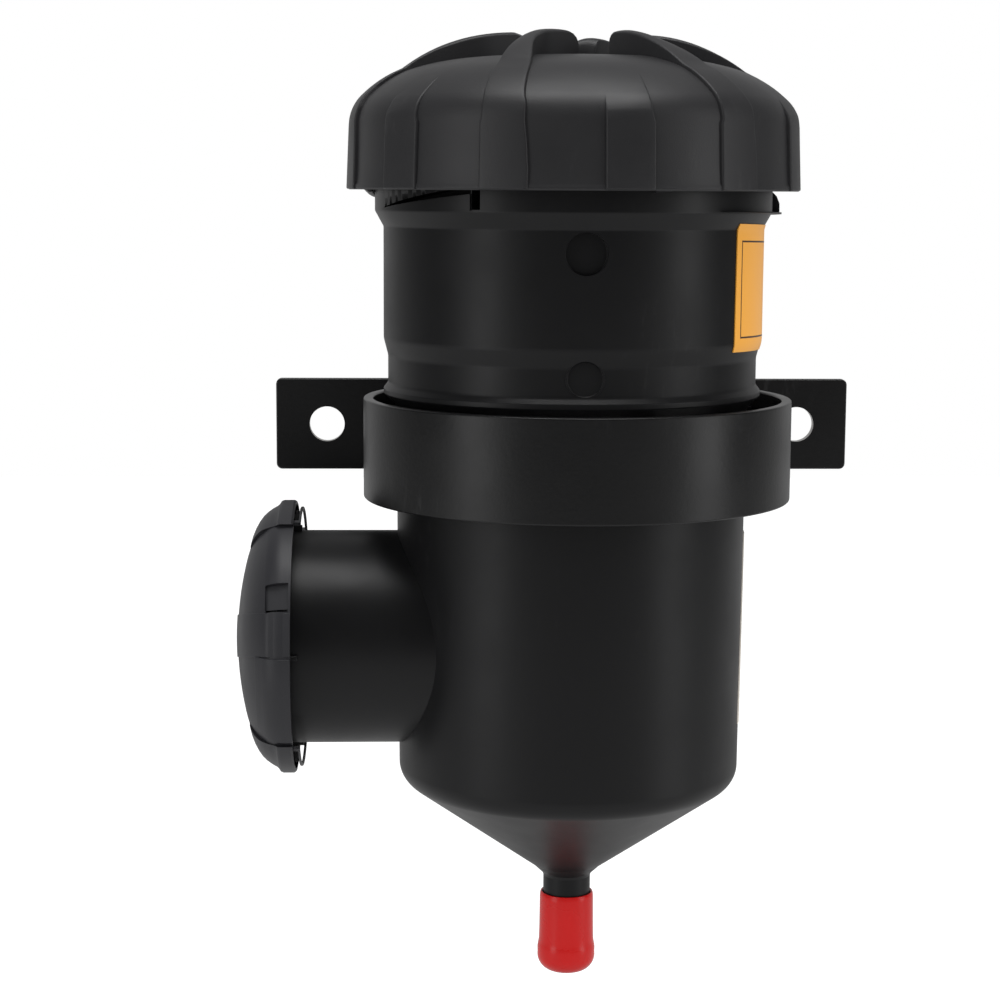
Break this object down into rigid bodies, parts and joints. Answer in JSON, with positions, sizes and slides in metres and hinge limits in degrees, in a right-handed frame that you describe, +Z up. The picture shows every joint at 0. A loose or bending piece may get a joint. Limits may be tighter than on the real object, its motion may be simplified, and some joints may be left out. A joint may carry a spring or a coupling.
{
  "type": "oil catch can",
  "caption": "Engine breather oil catch can: screw lid over a lift-out element, side vacuum regulator, ring bracket with a flat bar, cone floor with a capped drain stub.",
  "frame": {"origin": "midway between the two bolt holes, on the back face of the bracket's bar", "axes": "+Z up along the can, +Y out of the bar's back face, +X to the right seen from the front"},
  "size_m": [0.1713, 0.1345, 0.2488],
  "materials": {
    "housing": "moulded black plastic, satin",
    "lid": "moulded black plastic, fine grain",
    "regulator_cover": "moulded black plastic, satin",
    "bracket": "black powder coat",
    "drain_cap": "glossy red vinyl",
    "rubber": "black rubber",
    "media": "wound fleece",
    "element_plate": "dark grey plastic",
    "inner_plastic": "natural plastic",
    "spring": "spring steel wire",
    "upper_label": "orange film, bare, with a thin dark border line",
    "lower_label": "pale film, bare"
  },
  "bodies": {
    "canister": {"housing": "housing", "element_top_plate": "element_plate", "element_media": "media", "element_core": "element_plate", "element_bottom_plate": "element_plate", "element_seal": "rubber", "mounting_bracket": "bracket", "regulator_cover": "regulator_cover", "regulator_spring_seat": "inner_plastic", "bypass_cage": "element_plate", "upper_label": "upper_label", "lower_label": "lower_label"},
    "lid_carrier": {"lid_seal": "rubber"},
    "lid_cap": {"lid": "lid"},
    "drain_plug": {"drain_cap": "drain_cap"},
    "regulator_piston": {"regulator_plate": "inner_plastic", "regulator_valve_disc": "inner_plastic", "regulator_diaphragm": "rubber", "regulator_spring": "spring"},
    "bypass_piston": {"bypass_disc": "inner_plastic", "bypass_facing": "rubber", "bypass_spring": "spring"}
  },
  "joints": [
    {"name": "lid_lift", "type": "slide", "parent": "canister", "child": "lid_carrier", "axis": [0, 0, 1], "range_m": [0, 0.0046]},
    {"name": "lid_turn", "type": "hinge", "parent": "lid_carrier", "child": "lid_cap", "pos_m": [-0.0015, -0.0588, 0.0665], "axis": [0, 0, 1], "range_deg": [0, 50]},
    {"name": "drain_cap_pull", "type": "slide", "parent": "canister", "child": "drain_plug", "axis": [0, 0, -1], "range_m": [0, 0.024]},
    {"name": "regulator_stroke", "type": "slide", "parent": "canister", "child": "regulator_piston", "axis": [1, 0, 0], "range_m": [0, 0.0035], "stiffness_N_per_m": 120, "springref_m": -0.004, "deforming": ["regulator_diaphragm", "regulator_spring"]},
    {"name": "bypass_stroke", "type": "slide", "parent": "canister", "child": "bypass_piston", "axis": [0, 0, -1], "range_m": [0, 0.003], "stiffness_N_per_m": 200, "springref_m": -0.003, "deforming": ["bypass_spring"]}
  ],
  "couplings": [
    {"joint": "lid_lift", "follows": "lid_turn", "m_per_rad": 0.005093}
  ]
}
